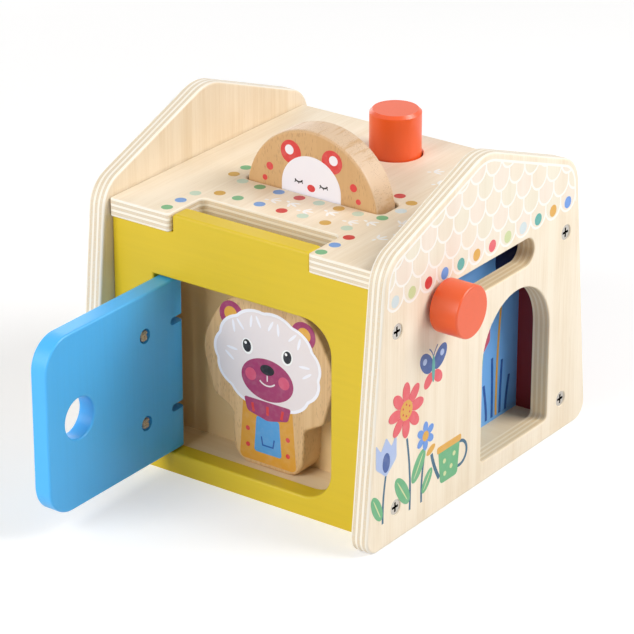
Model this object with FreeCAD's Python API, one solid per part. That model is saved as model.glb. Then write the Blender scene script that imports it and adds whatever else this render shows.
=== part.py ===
import FreeCAD
import Part
import math
import os

# A small plywood farmhouse for toddlers, in millimetres. X runs along the yellow front, Y from the
# front to the back and Z up. The origin is the centre of the footprint, on the floor.
# The door is drawn standing open, square to the front, and the half-disc and the knob at rest.

V = FreeCAD.Vector
X_AXIS = V(1, 0, 0)
Y_AXIS = V(0, 1, 0)
Z_AXIS = V(0, 0, 1)

# Boards and the house
BOARD = 10.0  # seven-ply birch board
THIN_BOARD = 6.0  # painted board behind the sliding figure
PARTITION = 7.0  # board behind the front figure
INSIDE_X = 79.5  # inner face of each side panel
FRONT_Y = -80.0  # outer face of the front panel
BACK_Y = 80.0  # outer face of the back panel
ROOF_UNDER = 132.6  # underside of the roof board
FLOOR_TOP = BOARD
OVERCUT = 1.0  # how far a cutting tool starts outside the face that it opens

# Side panels
BASE_HALF_DEPTH = 100.0
KNEE_Y = 84.8
KNEE_Z = 148.4
PEAK_Z = 179.5
FOOT_RADIUS = 9.0
KNEE_RADIUS = 18.0
PEAK_RADIUS = 27.0
PANEL_ROUNDING = 1.5

# Arched window and knob slot in the right panel
WINDOW_Y = 31.0
WINDOW_RADIUS = 31.0
WINDOW_SILL = 11.5
WINDOW_SPRING = 64.5
WINDOW_CORNER = 3.0
WINDOW_FOOT_HEIGHT = 20.0  # lower part of the window, which has the rounded corners
SLOT_Z = 113.25
SLOT_RADIUS = 7.45
SLOT_HALF_LENGTH = 45.5
CUT_ROUNDING = 0.7

# Front panel
DOORWAY_HALF = 54.0
DOORWAY_LOW = 11.0
DOORWAY_HIGH = 107.0
DOORWAY_RADIUS = 17.0
TAB_HALF = 41.5
TAB_TOP = 142.0
TAB_RADIUS = 2.0
PAINTED_ROUNDING = 1.3

# Roof board
ROOF_FRONT = -82.0
HAND_SLOT_HALF = 42.0
HAND_SLOT_BACK = -54.6
HAND_SLOT_RADIUS = 4.0
ROOF_TAB_RADIUS = 2.0
ROOF_SIDE_GAP = 0.5  # between the roof board and each side panel
ROOF_CORNER = 1.2
ROOF_ROUNDING = 0.9
ROOF_HALF = INSIDE_X - ROOF_SIDE_GAP

# Pop up half-disc
WORKS_X = 0.5  # middle plane of the lifting works
BLOCK_Y = -13.5
BLOCK_THICK = 16.5
BLOCK_RADIUS = 40.0
BLOCK_CENTRE_Z = 136.5
BLOCK_ROUNDING = 1.7
BLOCK_SLOT_X = 1.1  # a little to the right of the half-disc, as the real one is
BLOCK_SLOT_GAP = 2.1
BLOCK_SLOT_THICK = 18.0
BLOCK_SLOT_RADIUS = 4.0
SHOULDER_HALF = 46.0
TRAVEL = 18.0
STOP_GAP = 0.3
SHOULDER_TOP = ROOF_UNDER - TRAVEL - STOP_GAP
BLOCK_FOOT = 90.3

# Grooved uprights that guide the half-disc
GUIDE_INNER = 41.3
GUIDE_OUTER = 55.0
GUIDE_HALF_DEPTH = 15.0
GROOVE_END_PLAY = 0.4
GROOVE_SIDE_PLAY = 0.35
GROOVE_BOTTOM = SHOULDER_HALF + GROOVE_END_PLAY
GROOVE_HALF_WIDTH = BLOCK_THICK / 2 + GROOVE_SIDE_PLAY
LEDGE_Z = BLOCK_FOOT - STOP_GAP

# Push button
BUTTON_Y = 51.3
BUTTON_RADIUS = 13.5
BUTTON_HOLE_RADIUS = 14.3
BUTTON_TOP = 166.5
BUTTON_BEVEL = 1.6
SPIGOT_RADIUS = 9.0
SPIGOT_FOOT = BLOCK_FOOT + TRAVEL
COLLAR_RADIUS = 18.0
COLLAR_THICK = 8.0
COLLAR_TOP = ROOF_UNDER - STOP_GAP

# Rocking lever under the half-disc and the button
NOSE_RADIUS = 4.0
ARM = 33.0
PIVOT_Y = (BLOCK_Y + BUTTON_Y) / 2
PIVOT_Z = BLOCK_FOOT - STOP_GAP - NOSE_RADIUS + TRAVEL / 2
TILT = math.degrees(math.asin(TRAVEL / 2 / ARM))
LEVER_HALF_WIDTH = 7.0
LEVER_DEPTH = 8.0
BOSS_RADIUS = 9.0
AXLE_RADIUS = 2.5
AXLE_PLAY = 0.05
CHEEK_GAP = 0.6
CHEEK_THICK = 8.0
CHEEK_HALF_DEPTH = 10.0
CHEEK_TIP_RADIUS = 10.0

# Door, open and square to the front
HINGE_X = -48.0
HINGE_Y = -75.0
DOOR_HALF_THICK = BOARD / 2
DOOR_EDGE_RADIUS = 3.0  # eased hinge edge, which turns inside the doorway's corner
DOOR_REACH = 101.0
DOOR_LOW = 12.0
DOOR_HIGH = 106.0
DOOR_CORNER = 16.5
DOOR_ROUNDING = 1.2
FINGER_REACH = 77.0
FINGER_Z = 59.0
FINGER_RADIUS = 10.75

# Elastic cords that are the door's hinges
CORD_HEIGHTS = (36.0, 83.6)
CORD_RADIUS = 1.5
CORD_BORE = 2.0
KNOT_REACH = 26.0
KNOT_RADIUS = 2.9
KNOT_HOLE_RADIUS = 4.0
DOOR_KNOT_OUT = 3.2  # from the leaf's middle plane towards its shown face
NOTCH_DEPTH = 10.8
NOTCH_HALF = 2.0
JAMB_KNOT_X = -66.0
JAMB_HOLE_RADIUS = 3.5
JAMB_HOLE_DEPTH = 8.0
JAMB_BORE_LENGTH = 14.0
CORD_START = 2.0

# Front figure and sliding figure
FIGURE_X = 4.8
FIGURE_THICK = 15.0
FIGURE_OUTLINE = (  # corners of the right half, foot to crown: across, height, radius
    (21.0, FLOOR_TOP, 10.0),
    (22.4, 37.0, 4.0),
    (34.0, 43.5, 6.0),
    (42.0, 71.0, 27.0),
    (24.0, 103.0, 31.0),
)
FIGURE_ROUNDING = 1.5
KNOB_END_GAP = 7.3
SLIDER_Y = -SLOT_HALF_LENGTH + KNOB_END_GAP
SLIDER_THICK = 11.0
SLIDER_X = 67.0  # inner face of the sliding figure
SLIDER_FOOT = FLOOR_TOP + 1.0
SLIDER_BACK_GAP = 1.5
SLIDER_OUTLINE = (
    (18.0, SLIDER_FOOT, 8.0),
    (19.0, 56.0, 5.0),
    (30.0, 62.0, 10.0),
    (32.0, 96.0, 24.0),
    (19.0, 125.0, 20.0),
)

# Knob
KNOB_RADIUS = 13.5
KNOB_INNER = 91.5
KNOB_OUTER = 107.5
KNOB_ROUNDING = 1.0
STEM_RADIUS = 7.0

# Countersunk wood screws
HEAD_RADIUS = 4.0
HEAD_DEPTH = 2.4
HEAD_RIM = 0.3  # straight rim of the head, and the seat's room round it
SEAT_OPENING = 2.0
SHANK_RADIUS = 1.75
POINT_LENGTH = 4.0
RECESS_HALF = 2.6
RECESS_WIDTH = 1.3
RECESS_DEPTH = 1.5
HEAD_SUNK = 0.4
SIDE_SCREW_LENGTH = 32.0
SIDE_SCREW_Y = 75.0
SIDE_SCREW_HEIGHTS = (18.5, 111.8)
FIGURE_SCREW_LENGTH = 18.0
FIGURE_SCREW_HEIGHTS = (28.0, 74.0)
KNOB_SCREW_LENGTH = 34.0

CHANNEL_OUTER = SLIDER_X - SLIDER_BACK_GAP
CHANNEL_INNER = CHANNEL_OUTER - THIN_BOARD
PARTITION_FRONT = -49.7
PARTITION_BACK = PARTITION_FRONT + PARTITION
INSIDE_Y = BACK_Y - BOARD
FACE_TOLERANCE = 0.01  # edges this near a plane count as lying in it
ROUND_END_SLACK = 0.01  # keeps a sliver of straight edge between two arcs that nearly meet


def side_on(x):
    """Puts an outline drawn as (y, z) on the plane at x."""
    return lambda p: V(x, p.x, p.y)


def face_on(y):
    """Puts an outline drawn as (x, z) on the plane at y."""
    return lambda p: V(p.x, y, p.y)


def flat_on(z):
    """Puts an outline drawn as (x, y) on the plane at z."""
    return lambda p: V(p.x, p.y, z)


def corner_arc(before, here, after, radius):
    """Start, middle and end of the arc that rounds one corner."""
    back = (before - here).normalize()
    ahead = (after - here).normalize()
    half_angle = back.getAngle(ahead) / 2
    reach = radius / math.tan(half_angle)
    bisector = (back + ahead).normalize()
    middle = here + bisector * (radius / math.sin(half_angle) - radius)
    return here + back * reach, middle, here + ahead * reach


def rounded_outline(corners, place):
    """Closed wire through corners given as (a, b, radius), with a tangent arc at each radius."""
    points = [V(a, b, 0) for a, b, radius in corners]
    count = len(points)
    arcs = []
    for i, (a, b, radius) in enumerate(corners):
        if radius:
            arcs.append(corner_arc(points[i - 1], points[i], points[(i + 1) % count], radius))
        else:
            arcs.append((points[i], None, points[i]))
    edges = []
    for i, (start, middle, end) in enumerate(arcs):
        if middle:
            edges.append(Part.Arc(place(start), place(middle), place(end)).toShape())
        following = arcs[(i + 1) % count][0]
        if (following - end).Length > 0.001:
            edges.append(Part.makeLine(place(end), place(following)))
    return Part.Wire(edges)


def plate(corners, place, along):
    """Solid plate from a rounded outline, pushed out along a vector."""
    return Part.Face(rounded_outline(corners, place)).extrude(along)


def box(low, high):
    size = V(*high) - V(*low)
    return Part.makeBox(size.x, size.y, size.z, V(*low))


def rod(start, axis, radius, length):
    return Part.makeCylinder(radius, length, V(*start), axis)


def rectangle(a0, b0, a1, b1, radius):
    return [(a0, b0, radius), (a1, b0, radius), (a1, b1, radius), (a0, b1, radius)]


def rounded(shape, radius, wanted):
    """Rounds the edges whose bounding box passes the test."""
    edges = [edge for edge in shape.Edges if wanted(edge.BoundBox)]
    return shape.makeFillet(radius, edges)


def in_plane(low, high, value):
    """True where an edge's extent lies in one plane."""
    return abs(low - value) < FACE_TOLERANCE and abs(high - value) < FACE_TOLERANCE


def screw(head, axis, length):
    """Countersunk wood screw with a cross recess; head is the centre of its flat face."""
    shank_end = length - POINT_LENGTH
    profile = [
        V(0, 0, 0),
        V(HEAD_RADIUS, 0, 0),
        V(HEAD_RADIUS, 0, HEAD_RIM),
        V(SHANK_RADIUS, 0, HEAD_DEPTH),
        V(SHANK_RADIUS, 0, shank_end),
        V(0, 0, length),
        V(0, 0, 0),
    ]
    body = Part.Face(Part.makePolygon(profile)).revolve(V(0, 0, 0), Z_AXIS, 360)
    half = RECESS_HALF
    thin = RECESS_WIDTH / 2
    cross = box((-half, -thin, -OVERCUT), (half, thin, RECESS_DEPTH))
    cross = cross.fuse(box((-thin, -half, -OVERCUT), (thin, half, RECESS_DEPTH)))
    body = body.cut(cross)
    body.Placement = FreeCAD.Placement(V(*head), FreeCAD.Rotation(Z_AXIS, axis))
    return body


def screw_seat(head, axis, length):
    """Hole for a screw: its own form without the recess, and a rim open to the surface."""
    profile = [
        V(0, 0, -SEAT_OPENING),
        V(HEAD_RADIUS + HEAD_RIM, 0, -SEAT_OPENING),
        V(HEAD_RADIUS + HEAD_RIM, 0, 0),
        V(HEAD_RADIUS, 0, 0),
        V(HEAD_RADIUS, 0, HEAD_RIM),
        V(SHANK_RADIUS, 0, HEAD_DEPTH),
        V(SHANK_RADIUS, 0, length - POINT_LENGTH),
        V(0, 0, length),
        V(0, 0, -SEAT_OPENING),
    ]
    seat = Part.Face(Part.makePolygon(profile)).revolve(V(0, 0, 0), Z_AXIS, 360)
    seat.Placement = FreeCAD.Placement(V(*head), FreeCAD.Rotation(Z_AXIS, axis))
    return seat


def side_screw_places(side):
    """Head centres and direction of the screws through one side panel, side +1 or -1."""
    face = side * (INSIDE_X + BOARD - HEAD_SUNK)
    heads = [(face, y, z) for y in (-SIDE_SCREW_Y, SIDE_SCREW_Y) for z in SIDE_SCREW_HEIGHTS]
    return heads, V(-side, 0, 0)


def cut_side_screws(shape):
    for side in (-1, 1):
        heads, axis = side_screw_places(side)
        for head in heads:
            shape = shape.cut(screw_seat(head, axis, SIDE_SCREW_LENGTH))
    return shape


def figure_screw_places():
    return [(FIGURE_X, PARTITION_BACK, z) for z in FIGURE_SCREW_HEIGHTS]


def house_side(inner, outward):
    """House-shaped board with leaning front and back edges and a shallow gable."""
    corners = [
        (-BASE_HALF_DEPTH, 0, FOOT_RADIUS),
        (BASE_HALF_DEPTH, 0, FOOT_RADIUS),
        (KNEE_Y, KNEE_Z, KNEE_RADIUS),
        (0, PEAK_Z, PEAK_RADIUS),
        (-KNEE_Y, KNEE_Z, KNEE_RADIUS),
    ]
    board = plate(corners, side_on(inner), V(outward * BOARD, 0, 0))
    faces = (inner, inner + outward * BOARD)
    return rounded(board, PANEL_ROUNDING, lambda b: any(in_plane(b.XMin, b.XMax, x) for x in faces))


def arched_window():
    y0 = WINDOW_Y - WINDOW_RADIUS
    y1 = WINDOW_Y + WINDOW_RADIUS
    low = rectangle(y0, WINDOW_SILL, y1, WINDOW_SPRING + WINDOW_CORNER, WINDOW_CORNER)
    start = INSIDE_X - OVERCUT
    end = INSIDE_X + BOARD + OVERCUT
    foot = WINDOW_SILL + WINDOW_FOOT_HEIGHT
    arch = rod((start, WINDOW_Y, WINDOW_SPRING), X_AXIS, WINDOW_RADIUS, end - start)
    straight = box((start, y0, foot), (end, y1, WINDOW_SPRING))
    rounded_foot = plate(low, side_on(start), V(end - start, 0, 0)).common(
        box((start, y0, 0), (end, y1, foot))
    )
    return rounded_foot.fuse([straight, arch]).removeSplitter()


def knob_slot():
    end = SLOT_HALF_LENGTH
    radius = SLOT_RADIUS - ROUND_END_SLACK
    corners = rectangle(-end, SLOT_Z - SLOT_RADIUS, end, SLOT_Z + SLOT_RADIUS, radius)
    return plate(corners, side_on(INSIDE_X - OVERCUT), V(BOARD + 2 * OVERCUT, 0, 0))


def side_panel_left():
    return cut_side_screws(house_side(-INSIDE_X, -1))


def side_panel_right():
    panel = house_side(INSIDE_X, 1).cut([arched_window(), knob_slot()])
    outer = INSIDE_X + BOARD

    def rim(b):
        """The window and the slot, and not the panel's own outline, which has its rounding already."""
        inside = b.YMin > -BASE_HALF_DEPTH / 2 - OVERCUT and b.YMax < SIDE_SCREW_Y
        low_enough = b.ZMin > WINDOW_SILL - OVERCUT and b.ZMax < ROOF_UNDER
        return inside and low_enough and in_plane(b.XMin, b.XMax, outer)

    return cut_side_screws(rounded(panel, CUT_ROUNDING, rim))


def front_panel():
    """Yellow front with its doorway, a tab between the roof's two tabs and the cord bores."""
    corners = [
        (-INSIDE_X, 0, 0),
        (INSIDE_X, 0, 0),
        (INSIDE_X, ROOF_UNDER, 0),
        (TAB_HALF, ROOF_UNDER, 0),
        (TAB_HALF, TAB_TOP, TAB_RADIUS),
        (-TAB_HALF, TAB_TOP, TAB_RADIUS),
        (-TAB_HALF, ROOF_UNDER, 0),
        (-INSIDE_X, ROOF_UNDER, 0),
    ]
    panel = plate(corners, face_on(FRONT_Y), V(0, BOARD, 0))
    doorway = [
        (-DOORWAY_HALF, DOORWAY_LOW, 0),
        (DOORWAY_HALF, DOORWAY_LOW, DOORWAY_RADIUS),
        (DOORWAY_HALF, DOORWAY_HIGH, DOORWAY_RADIUS),
        (-DOORWAY_HALF, DOORWAY_HIGH, 0),
    ]
    panel = panel.cut(plate(doorway, face_on(FRONT_Y - OVERCUT), V(0, BOARD + 2 * OVERCUT, 0)))

    def soft(b):
        front = in_plane(b.YMin, b.YMax, FRONT_Y)
        rim = abs(b.XMin + b.XMax) / 2 + b.XLength / 2 < DOORWAY_HALF + FACE_TOLERANCE
        rim = rim and b.ZMin > DOORWAY_LOW - FACE_TOLERANCE and b.ZMax < DOORWAY_HIGH + FACE_TOLERANCE
        tab = b.ZMin > TAB_TOP - TAB_RADIUS - FACE_TOLERANCE
        side = b.ZLength > DOORWAY_HIGH
        return front and (rim or tab or side)

    panel = rounded(panel, PAINTED_ROUNDING, soft)
    for z in CORD_HEIGHTS:
        channel = rod((JAMB_KNOT_X, HINGE_Y, z), X_AXIS, CORD_BORE, JAMB_BORE_LENGTH)
        floor = FRONT_Y + BOARD - JAMB_HOLE_DEPTH
        pocket = rod((JAMB_KNOT_X, floor, z), Y_AXIS, JAMB_HOLE_RADIUS, JAMB_HOLE_DEPTH + OVERCUT)
        panel = panel.cut([channel, pocket])
    return cut_side_screws(panel)


def back_panel():
    return cut_side_screws(box((-INSIDE_X, BACK_Y - BOARD, 0), (INSIDE_X, BACK_Y, ROOF_UNDER)))


def roof_board():
    """Roof with two front tabs, a hand slot behind the front panel, a slot and a button hole."""
    corners = [
        (-ROOF_HALF, ROOF_FRONT, ROOF_CORNER),
        (-HAND_SLOT_HALF, ROOF_FRONT, ROOF_TAB_RADIUS),
        (-HAND_SLOT_HALF, HAND_SLOT_BACK, HAND_SLOT_RADIUS),
        (HAND_SLOT_HALF, HAND_SLOT_BACK, HAND_SLOT_RADIUS),
        (HAND_SLOT_HALF, ROOF_FRONT, ROOF_TAB_RADIUS),
        (ROOF_HALF, ROOF_FRONT, ROOF_CORNER),
        (ROOF_HALF, BACK_Y, ROOF_CORNER),
        (-ROOF_HALF, BACK_Y, ROOF_CORNER),
    ]
    board = plate(corners, flat_on(ROOF_UNDER), V(0, 0, BOARD))
    half = BLOCK_RADIUS + BLOCK_SLOT_GAP
    deep = BLOCK_SLOT_THICK / 2
    left = BLOCK_SLOT_X - half
    right = BLOCK_SLOT_X + half
    slot = rectangle(left, BLOCK_Y - deep, right, BLOCK_Y + deep, BLOCK_SLOT_RADIUS)
    through = BOARD + 2 * OVERCUT
    board = board.cut([
        plate(slot, flat_on(ROOF_UNDER - OVERCUT), V(0, 0, through)),
        rod((WORKS_X, BUTTON_Y, ROOF_UNDER - OVERCUT), Z_AXIS, BUTTON_HOLE_RADIUS, through),
    ])

    def rim(b):
        """The whole upper outline and holes, and the lower outline in front of the hand slot's back."""
        upper = in_plane(b.ZMin, b.ZMax, ROOF_UNDER + BOARD)
        lower = in_plane(b.ZMin, b.ZMax, ROOF_UNDER) and b.YMax < FRONT_Y
        return upper or lower

    return rounded(board, ROOF_ROUNDING, rim)


def floor_board():
    return box((-INSIDE_X, -INSIDE_Y, 0), (INSIDE_X, INSIDE_Y, FLOOR_TOP))


def compartment_wall():
    wall = box((-INSIDE_X, PARTITION_FRONT, FLOOR_TOP), (CHANNEL_INNER, PARTITION_BACK, ROOF_UNDER))
    for head in figure_screw_places():
        wall = wall.cut(screw_seat(head, -Y_AXIS, FIGURE_SCREW_LENGTH))
    return wall


def channel_board():
    return box((CHANNEL_INNER, -INSIDE_Y, FLOOR_TOP), (CHANNEL_OUTER, INSIDE_Y, ROOF_UNDER))


def figure_plate(half_outline, centre, place, along):
    """Figure mirrored about its middle line from the corners of its right half, foot to crown."""
    right = [(centre + a, b, radius) for a, b, radius in half_outline]
    left = [(centre - a, b, radius) for a, b, radius in reversed(half_outline)]
    return plate(right + left, place, along)


def front_figure():
    place = face_on(PARTITION_FRONT)
    solid = figure_plate(FIGURE_OUTLINE, FIGURE_X, place, V(0, -FIGURE_THICK, 0))
    front = PARTITION_FRONT - FIGURE_THICK
    solid = rounded(solid, FIGURE_ROUNDING, lambda b: in_plane(b.YMin, b.YMax, front))
    for head in figure_screw_places():
        solid = solid.cut(screw_seat(head, -Y_AXIS, FIGURE_SCREW_LENGTH))
    return solid


def slider_figure():
    solid = figure_plate(SLIDER_OUTLINE, SLIDER_Y, side_on(SLIDER_X), V(SLIDER_THICK, 0, 0))
    outer = SLIDER_X + SLIDER_THICK
    solid = rounded(solid, FIGURE_ROUNDING, lambda b: in_plane(b.XMin, b.XMax, outer))
    return solid.cut(knob_screw_seat())


def door():
    """Painted leaf with an eased hinge edge, a finger hole, knot holes and cord notches."""
    face = HINGE_X - DOOR_HALF_THICK
    edge = HINGE_Y + DOOR_HALF_THICK
    free = HINGE_Y - DOOR_REACH
    corners = [
        (edge, DOOR_LOW, 0),
        (free, DOOR_LOW, DOOR_CORNER),
        (free, DOOR_HIGH, DOOR_CORNER),
        (edge, DOOR_HIGH, 0),
    ]
    leaf = plate(corners, side_on(face), V(BOARD, 0, 0))

    def upright(b):
        return in_plane(b.YMin, b.YMax, edge) and b.ZLength > DOOR_HIGH - DOOR_LOW - FACE_TOLERANCE

    leaf = rounded(leaf, DOOR_EDGE_RADIUS, upright)
    start = face - OVERCUT
    through = BOARD + 2 * OVERCUT
    leaf = leaf.cut(rod((start, HINGE_Y - FINGER_REACH, FINGER_Z), X_AXIS, FINGER_RADIUS, through))

    def outline(b):
        flat = in_plane(b.XMin, b.XMax, face) or in_plane(b.XMin, b.XMax, face + BOARD)
        return flat and b.YMin < HINGE_Y - FACE_TOLERANCE

    leaf = rounded(leaf, DOOR_ROUNDING, outline)
    for z in CORD_HEIGHTS:
        hole = rod((start, HINGE_Y - KNOT_REACH, z), X_AXIS, KNOT_HOLE_RADIUS, through)
        bore = rod((HINGE_X, HINGE_Y - KNOT_REACH, z), Y_AXIS, CORD_BORE, KNOT_REACH)
        end = edge - NOTCH_DEPTH + NOTCH_HALF
        low = (start, end, z - NOTCH_HALF)
        high = (start + through, edge + OVERCUT, z + NOTCH_HALF)
        notch_end = rod((start, end, z), X_AXIS, NOTCH_HALF, through)
        leaf = leaf.cut([hole, bore, box(low, high).fuse(notch_end)])
    return leaf


def jamb_cord(knot):
    """Cord turned about its own line: a ball for the knot, a straight run and a round tip."""
    length = HINGE_X - JAMB_KNOT_X
    neck = math.sqrt(KNOT_RADIUS ** 2 - CORD_RADIUS ** 2)
    side = math.sqrt(0.5) * CORD_RADIUS
    shoulder = V(length, 0, CORD_RADIUS)
    tip = V(length + CORD_RADIUS, 0, 0)
    edges = [
        Part.Arc(V(-KNOT_RADIUS, 0, 0), V(0, 0, KNOT_RADIUS), V(neck, 0, CORD_RADIUS)).toShape(),
        Part.makeLine(V(neck, 0, CORD_RADIUS), shoulder),
        Part.Arc(shoulder, V(length + side, 0, side), tip).toShape(),
        Part.makeLine(tip, V(-KNOT_RADIUS, 0, 0)),
    ]
    cord = Part.Face(Part.Wire(edges)).revolve(V(0, 0, 0), X_AXIS, 360)
    cord.translate(V(*knot))
    return cord


def door_cords():
    """Cord in the door's bores, each ending in its knot, which bulges from the cross hole."""
    cords = []
    for z in CORD_HEIGHTS:
        start = V(HINGE_X, HINGE_Y - KNOT_REACH - CORD_RADIUS, z)
        run = rod(start, Y_AXIS, CORD_RADIUS, KNOT_REACH + CORD_RADIUS - CORD_START)
        knot = Part.makeSphere(KNOT_RADIUS, V(HINGE_X + DOOR_KNOT_OUT, HINGE_Y - KNOT_REACH, z))
        cords.append(run.fuse(knot))
    return Part.makeCompound(cords)


def jamb_cords():
    """Cord from the hinge line into the stile, each with its knot in the pocket behind."""
    return Part.makeCompound([jamb_cord((JAMB_KNOT_X, HINGE_Y, z)) for z in CORD_HEIGHTS])


def pop_up_block():
    """Half-disc on a plain shank with two shoulders that stop under the roof."""
    y = BLOCK_Y - BLOCK_THICK / 2
    left = WORKS_X - BLOCK_RADIUS
    right = WORKS_X + BLOCK_RADIUS
    top = V(WORKS_X, y, BLOCK_CENTRE_Z + BLOCK_RADIUS)
    head = Part.Arc(V(right, y, BLOCK_CENTRE_Z), top, V(left, y, BLOCK_CENTRE_Z)).toShape()
    line = Part.makePolygon([
        V(left, y, BLOCK_CENTRE_Z),
        V(left, y, SHOULDER_TOP),
        V(WORKS_X - SHOULDER_HALF, y, SHOULDER_TOP),
        V(WORKS_X - SHOULDER_HALF, y, BLOCK_FOOT),
        V(WORKS_X + SHOULDER_HALF, y, BLOCK_FOOT),
        V(WORKS_X + SHOULDER_HALF, y, SHOULDER_TOP),
        V(right, y, SHOULDER_TOP),
        V(right, y, BLOCK_CENTRE_Z),
    ])
    block = Part.Face(Part.Wire([head] + line.Edges)).extrude(V(0, BLOCK_THICK, 0))

    def shown(b):
        face = in_plane(b.YMin, b.YMax, y) or in_plane(b.YMin, b.YMax, y + BLOCK_THICK)
        upright = b.ZLength > FACE_TOLERANCE
        return face and b.ZMin > SHOULDER_TOP - FACE_TOLERANCE and upright

    return rounded(block, BLOCK_ROUNDING, shown)


def block_guide(side):
    """Upright from floor to roof with a groove that ends in a ledge under the shoulder."""
    inner = WORKS_X + side * GUIDE_INNER
    outer = WORKS_X + side * GUIDE_OUTER
    low = (min(inner, outer), BLOCK_Y - GUIDE_HALF_DEPTH, FLOOR_TOP)
    high = (max(inner, outer), BLOCK_Y + GUIDE_HALF_DEPTH, ROOF_UNDER)
    deep = WORKS_X + side * GROOVE_BOTTOM
    mouth = WORKS_X + side * (GUIDE_INNER - OVERCUT)
    groove_low = (min(deep, mouth), BLOCK_Y - GROOVE_HALF_WIDTH, LEDGE_Z)
    groove_high = (max(deep, mouth), BLOCK_Y + GROOVE_HALF_WIDTH, ROOF_UNDER + OVERCUT)
    return box(low, high).cut(box(groove_low, groove_high))


def push_button():
    """Turned button with a bevelled rim on a thinner spigot."""
    profile = [
        V(0, 0, SPIGOT_FOOT),
        V(SPIGOT_RADIUS, 0, SPIGOT_FOOT),
        V(SPIGOT_RADIUS, 0, COLLAR_TOP),
        V(BUTTON_RADIUS, 0, COLLAR_TOP),
        V(BUTTON_RADIUS, 0, BUTTON_TOP - BUTTON_BEVEL),
        V(BUTTON_RADIUS - BUTTON_BEVEL, 0, BUTTON_TOP),
        V(0, 0, BUTTON_TOP),
        V(0, 0, SPIGOT_FOOT),
    ]
    button = Part.Face(Part.makePolygon(profile)).revolve(V(0, 0, 0), Z_AXIS, 360)
    button.translate(V(WORKS_X, BUTTON_Y, 0))
    return button


def button_collar():
    """Ring glued on the spigot, which stops the button under the roof."""
    foot = (WORKS_X, BUTTON_Y, COLLAR_TOP - COLLAR_THICK)
    ring = rod(foot, Z_AXIS, COLLAR_RADIUS, COLLAR_THICK)
    return ring.cut(rod(foot, Z_AXIS, SPIGOT_RADIUS, COLLAR_THICK))


def rocker_lever():
    """Lever drawn level about its pivot, then tipped so that the block's end is down."""
    drop = -LEVER_DEPTH
    half = V(-LEVER_HALF_WIDTH, 0, 0)
    wide = V(2 * LEVER_HALF_WIDTH, 0, 0)
    bar = box((half.x, -ARM, drop), (-half.x, ARM, 0))
    noses = [rod((half.x, y, 0), X_AXIS, NOSE_RADIUS, wide.x) for y in (-ARM, ARM)]
    ends = [rod((half.x, y, drop / 2), X_AXIS, -drop / 2, wide.x) for y in (-ARM, ARM)]
    boss = rod((half.x, 0, 0), X_AXIS, BOSS_RADIUS, wide.x)
    lever = bar.fuse(noses + ends + [boss]).removeSplitter()
    bore = rod((half.x - OVERCUT, 0, 0), X_AXIS, AXLE_RADIUS + AXLE_PLAY, wide.x + 2 * OVERCUT)
    lever = lever.cut(bore)
    lever.rotate(V(0, 0, 0), X_AXIS, TILT)
    lever.translate(V(WORKS_X, PIVOT_Y, PIVOT_Z))
    return lever


def pivot_bracket(side):
    """Cheek under the roof that holds one end of the lever's axle."""
    inner = WORKS_X + side * (LEVER_HALF_WIDTH + CHEEK_GAP)
    radius = CHEEK_TIP_RADIUS - ROUND_END_SLACK
    corners = [
        (PIVOT_Y - CHEEK_HALF_DEPTH, ROOF_UNDER, 0),
        (PIVOT_Y + CHEEK_HALF_DEPTH, ROOF_UNDER, 0),
        (PIVOT_Y + CHEEK_HALF_DEPTH, PIVOT_Z - CHEEK_TIP_RADIUS, radius),
        (PIVOT_Y - CHEEK_HALF_DEPTH, PIVOT_Z - CHEEK_TIP_RADIUS, radius),
    ]
    cheek = plate(corners, side_on(inner), V(side * CHEEK_THICK, 0, 0))
    return cheek.cut(rocker_axle())


def rocker_axle():
    length = 2 * (LEVER_HALF_WIDTH + CHEEK_GAP + CHEEK_THICK)
    return rod((WORKS_X - length / 2, PIVOT_Y, PIVOT_Z), X_AXIS, AXLE_RADIUS, length)


def knob_screw_head():
    return (SLIDER_X, SLIDER_Y, SLOT_Z)


def knob_screw_seat():
    return screw_seat(knob_screw_head(), X_AXIS, KNOB_SCREW_LENGTH)


def slide_knob():
    knob = rod((KNOB_INNER, SLIDER_Y, SLOT_Z), X_AXIS, KNOB_RADIUS, KNOB_OUTER - KNOB_INNER)
    knob = rounded(knob, KNOB_ROUNDING, lambda b: b.XLength < FACE_TOLERANCE)
    return knob.cut(knob_screw_seat())


def knob_stem():
    start = SLIDER_X + SLIDER_THICK
    stem = rod((start, SLIDER_Y, SLOT_Z), X_AXIS, STEM_RADIUS, KNOB_INNER - start)
    return stem.cut(knob_screw_seat())


def side_screws(side):
    heads, axis = side_screw_places(side)
    return Part.makeCompound([screw(head, axis, SIDE_SCREW_LENGTH) for head in heads])


def figure_screws():
    heads = figure_screw_places()
    return Part.makeCompound([screw(head, -Y_AXIS, FIGURE_SCREW_LENGTH) for head in heads])


PIECES = {
    "side_panel_left": side_panel_left,
    "side_panel_right": side_panel_right,
    "front_panel": front_panel,
    "back_panel": back_panel,
    "roof_board": roof_board,
    "floor_board": floor_board,
    "compartment_wall": compartment_wall,
    "channel_board": channel_board,
    "front_figure": front_figure,
    "figure_screws": figure_screws,
    "door": door,
    "door_cords": door_cords,
    "jamb_cords": jamb_cords,
    "pop_up_block": pop_up_block,
    "block_guide_left": lambda: block_guide(-1),
    "block_guide_right": lambda: block_guide(1),
    "push_button": push_button,
    "button_collar": button_collar,
    "rocker_lever": rocker_lever,
    "rocker_axle": rocker_axle,
    "pivot_bracket_left": lambda: pivot_bracket(-1),
    "pivot_bracket_right": lambda: pivot_bracket(1),
    "slide_knob": slide_knob,
    "knob_stem": knob_stem,
    "slider_figure": slider_figure,
    "knob_screw": lambda: screw(knob_screw_head(), X_AXIS, KNOB_SCREW_LENGTH),
    "side_screws_left": lambda: side_screws(-1),
    "side_screws_right": lambda: side_screws(1),
}

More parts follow.
